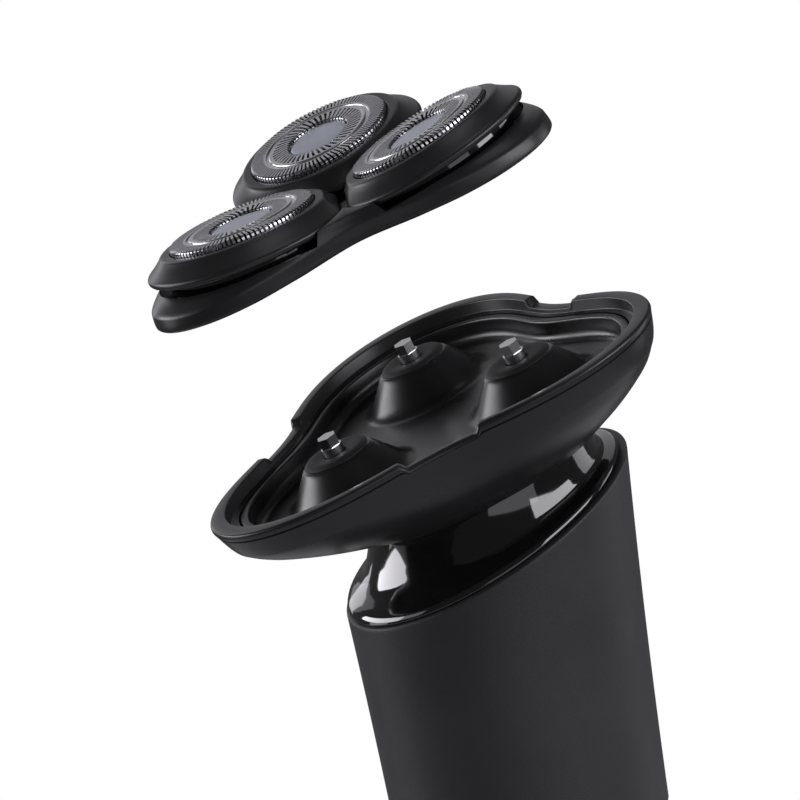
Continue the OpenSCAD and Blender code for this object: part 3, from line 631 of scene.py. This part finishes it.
def soft_min(a, b, k):
    h = np.clip(0.5 + 0.5 * (b - a) / k, 0, 1)
    return b * (1 - h) + a * h - k * h * (1 - h)


def petal_reach(r, inset, nose, k=0.5):
    """Distance of a petal's outline from its guard's axis at each angle."""
    side = GUARD_REACH * math.sin(math.radians(60)) - inset
    c = np.maximum(np.cos(PQ - math.radians(150)), np.cos(PQ + math.radians(150)))
    d = np.where(c > 0.05, side / np.maximum(c, 0.05), 300.0)
    back = -np.cos(PQ)
    e = np.where(back > 0.05, (GUARD_REACH - nose) / np.maximum(back, 0.05), 300.0)
    return soft_min(soft_min(np.full(PETAL_N, float(r)), np.minimum(d, 60.0), k), np.minimum(e, 60.0), k)


def petal_ring(r, inset, nose, z, k=0.5):
    d = petal_reach(r, inset, nose, k)
    return np.stack([d * np.cos(PQ), d * np.sin(PQ), np.full(PETAL_N, z)], 1)


def circle_ring(r, z):
    return np.stack([r * np.cos(PQ), r * np.sin(PQ), np.full(PETAL_N, z)], 1)


COVER = [  # radius, side inset, nose inset, height, corner softness
    (14.3, 1.1, 1.3, -4.12, 0.4), (14.75, 0.7, 0.9, -4.08, 0.4), (15.05, 0.4, 0.6, -3.92, 0.4),
    (15.25, 0.21, 0.42, -3.68, 0.4), (15.3, 0.16, 0.36, -3.4, 0.4), (15.24, 0.19, 0.4, -3.16, 0.4),
    (15.08, 0.29, 0.55, -2.95, 0.4), (14.85, 0.4, 0.75, -2.78, 0.4), (14.3, 0.66, 1.25, -2.42, 0.4),
    (13.6, 1.1, 2.2, -1.9, 0.4), (12.98, 1.42, 2.75, -1.4, 0.4), (12.75, 1.55, 2.95, -1.16, 0.4),
    (12.55, 1.66, 3.12, -0.96, 0.35), (12.38, 1.78, 3.28, -0.85, 0.35), (12.15, 1.93, 3.45, -0.8, 0.35)]
PLATEAU_Z = -0.8

GUARD_N = 384
OUTER_SLOTS, INNER_SLOTS = 96, 48
GUARD_PROFILE = [
    (4.62, -0.95), (4.62, -0.5), (4.66, -0.28), (4.78, -0.1), (4.98, -0.02), (5.3, 0.0),
    (6.4, 0.0), (7.15, 0.0), (7.42, 0.02), (7.56, 0.08), (7.7, 0.08), (7.82, 0.0), (7.9, -0.22),
    (8.2, -0.24), (8.3, -0.05), (8.42, 0.0), (8.62, 0.0), (9.6, 0.0), (10.42, -0.01),
    (10.66, -0.07), (10.82, -0.2), (10.88, -0.38), (10.9, -0.8), (10.9, -1.25), (10.9, -2.0),
    (10.9, -2.9)
]
INNER_OPEN = (1, 6)    # profile spans crossed by the inner slots
OUTER_OPEN = (16, 22)  # profile spans crossed by the outer slots


def guard_skin(name, place):
    gq = angles(GUARD_N)
    pts = []
    for r, z in GUARD_PROFILE:
        twist = math.radians(7.0) * (r - 4.62) / 3 if r < 7.6 else math.radians(3.0) * (r - 8.4) / 2.5
        pts.append(np.stack([r * np.cos(gq + twist), r * np.sin(gq + twist), np.full(GUARD_N, z)], 1))

    def hole(k, i):
        if INNER_OPEN[0] <= k <= INNER_OPEN[1]:
            return i % (GUARD_N // INNER_SLOTS) >= 4
        if OUTER_OPEN[0] <= k <= OUTER_OPEN[1]:
            return i % (GUARD_N // OUTER_SLOTS) >= 2
        return False

    obj = loft(name, pts, place, skip=hole, sharp=60)
    m = obj.modifiers.new("plate", "SOLIDIFY")
    m.thickness, m.offset = 0.16 * MM, 1 if guard_inward(obj, place) else -1
    m.use_even_offset = True
    bpy.context.view_layer.update()
    return applied(obj, 50)


def guard_inward(obj, place):
    """True where the recalculated normals look into the cap, so that the plate grows the right way."""
    axis = (place.to_3x3() @ Vector((0, 0, 1))).normalized()
    total = sum((p.normal.dot(axis) * p.area for p in obj.data.polygons), 0.0)
    return total < 0


for name, a in SECTORS.items():
    place = petal_place(a)
    rings = [petal_ring(r, i, n, z, k) for r, i, n, z, k in COVER]
    edge = rings[-1]
    for f in (0.25, 0.5, 0.75):
        rings.append(edge * (1 - f) + circle_ring(GUARD_R + 0.3, PLATEAU_Z) * f)
    rings += [circle_ring(GUARD_R + 0.3, PLATEAU_Z), circle_ring(GUARD_R + 0.17, PLATEAU_Z - 0.05),
              circle_ring(GUARD_R + 0.1, PLATEAU_Z - 0.2), circle_ring(GUARD_R + 0.1, -2.2),
              circle_ring(GUARD_R + 0.95, -2.2), circle_ring(GUARD_R + 0.95, -4.1)]
    cover = loft("petal_shell_" + name, rings, place, closed=True, sharp=42)
    place_piece(cover, "petal_" + name, ["petal_cover_" + name], UNIT_BLACK)

    body = [petal_ring(12.8, 1.9, 2.4, z, 0.4) for z in (-4.1, -4.5, -5.0, -5.5, -5.9)]
    body += [petal_ring(12.7, 2.0, 2.5, -6.1, 0.4), petal_ring(12.45, 2.2, 2.7, -6.2, 0.4)]
    body += [circle_ring(GUARD_R + 0.2, -6.2), circle_ring(GUARD_R + 0.2, -4.1)]
    carrier = loft("carrier_wall", body, place, closed=True, sharp=40)
    eye_place = UNIT @ rot("Z", a) @ shift(PIN_REACH, 0, PIN_Z) @ rot("X", 90)
    eye = revolve("eye", [(0.65, -2.4), (1.15, -2.4), (1.3, -2.25), (1.3, 2.25), (1.15, 2.4), (0.65, 2.4)],
                  eye_place, 48)
    place_piece(join("petal_carrier_" + name, [carrier, eye]), "petal_" + name, ["petal_frame_" + name],
                GLOSS)

    guard = guard_skin("slotted_guard_" + name, place)
    place_piece(guard, "petal_" + name, ["guard_" + name], STEEL)
    disc = [
        (0.02, -0.28), (1.5, -0.285), (3.0, -0.30), (4.0, -0.33), (4.35, -0.38), (4.52, -0.5),
        (4.58, -0.7), (4.58, -0.9), (0.02, -0.9)
    ]
    place_piece(revolve("centre_disc_" + name, disc, place, 128, closed=False), "petal_" + name,
                ["guard_cap_" + name], CAP)

# ---------- Stage, camera and light ----------


def stage_material(name, colour, rough):
    mat, tree, bsdf = nodes_of(name)
    bsdf.inputs["Base Color"].default_value = (*colour, 1)
    bsdf.inputs["Roughness"].default_value = rough
    return mat


PALE = stage_material("pale_floor", (0.85, 0.85, 0.85), 0.8)
FLOOR_DISC_R = 270.0
floor = revolve("floor", [(0.01, -0.2), (FLOOR_DISC_R, -0.2), (FLOOR_DISC_R, -2.0), (0.01, -2.0)], n=160)
paint(floor, PALE)

world = bpy.data.worlds.new("studio")
bpy.context.scene.world = world
world.use_nodes = True
wt = world.node_tree
wt.nodes.clear()
out = wt.nodes.new("ShaderNodeOutputWorld")
mix = wt.nodes.new("ShaderNodeMixShader")
rays = wt.nodes.new("ShaderNodeLightPath")
room = wt.nodes.new("ShaderNodeBackground")
seen = wt.nodes.new("ShaderNodeBackground")
room.inputs["Color"].default_value, room.inputs["Strength"].default_value = (0.97, 0.97, 1.0, 1), 0.085
seen.inputs["Color"].default_value, seen.inputs["Strength"].default_value = (1, 1, 1, 1), 1.0
wt.links.new(rays.outputs["Is Camera Ray"], mix.inputs["Fac"])
wt.links.new(room.outputs["Background"], mix.inputs[1])
wt.links.new(seen.outputs["Background"], mix.inputs[2])
wt.links.new(mix.outputs["Shader"], out.inputs["Surface"])

# Camera: seen from the right front, a little above, leaning
cam_data = bpy.data.cameras.new("camera")
cam = bpy.data.objects.new("camera", cam_data)
bpy.context.scene.collection.objects.link(cam)
cam_data.sensor_width, cam_data.lens = 36.0, 234.3
forward = Vector((-0.8586, 0.5000, -0.1131)).normalized()
up = Vector((-0.0096, 0.2050, 0.9787))
right = forward.cross(up).normalized()
up = right.cross(forward).normalized()
turn = Matrix((right, up, -forward)).transposed().to_4x4()
cam.matrix_world = Matrix.Translation((0.63959, -0.38236, 0.22344)) @ turn
cam_data.clip_start, cam_data.clip_end = 0.01, 20
bpy.context.scene.camera = cam
bpy.context.scene.view_settings.view_transform = "Standard"

AIM = Vector((0, -0.006, 0.14))


def softbox(name, azimuth, elevation, distance, width, height, power, colour=(1, 1, 1)):
    """A rectangular light. Azimuth 0 is in front of the shaver and 90 to its right."""
    a, e = math.radians(azimuth), math.radians(elevation)
    back = Vector((math.sin(a) * math.cos(e), -math.cos(a) * math.cos(e), math.sin(e)))
    data = bpy.data.lights.new(name, "AREA")
    data.shape, data.size, data.size_y = "RECTANGLE", width, height
    data.energy, data.color = power, colour
    obj = bpy.data.objects.new(name, data)
    bpy.context.scene.collection.objects.link(obj)
    obj.location = AIM + back * distance
    obj.rotation_mode = "QUATERNION"
    obj.rotation_quaternion = back.to_track_quat("Z", "Y")
    return obj


COOL = (0.97, 0.955, 1.0)
softbox("left_window", -50, 14, 0.9, 0.70, 0.20, 2.6, COOL)
softbox("left_fade", -18, 14, 0.9, 0.30, 0.20, 0.25, COOL)
softbox("left_strip", -92, 16, 0.9, 0.16, 0.5, 0.3, COOL)
softbox("right_window", 118, 18, 0.9, 0.80, 0.34, 4.6, COOL)
softbox("right_low", 172, 4, 0.9, 0.35, 0.6, 1.0, COOL)
softbox("front_fill", 76, 0, 1.3, 1.3, 0.5, 2.0, COOL)
softbox("front_left", -48, -4, 1.3, 0.5, 0.5, 1.2, COOL)
softbox("top", 60, 84, 0.9, 0.4, 0.4, 0.5, COOL)
softbox("far_panel", 252, 30, 1.1, 1.0, 0.9, 1.0, COOL)

for o in bpy.data.objects:
    if o.type == "MESH" and not o.data.materials:
        paint(o, UNIT_BLACK)
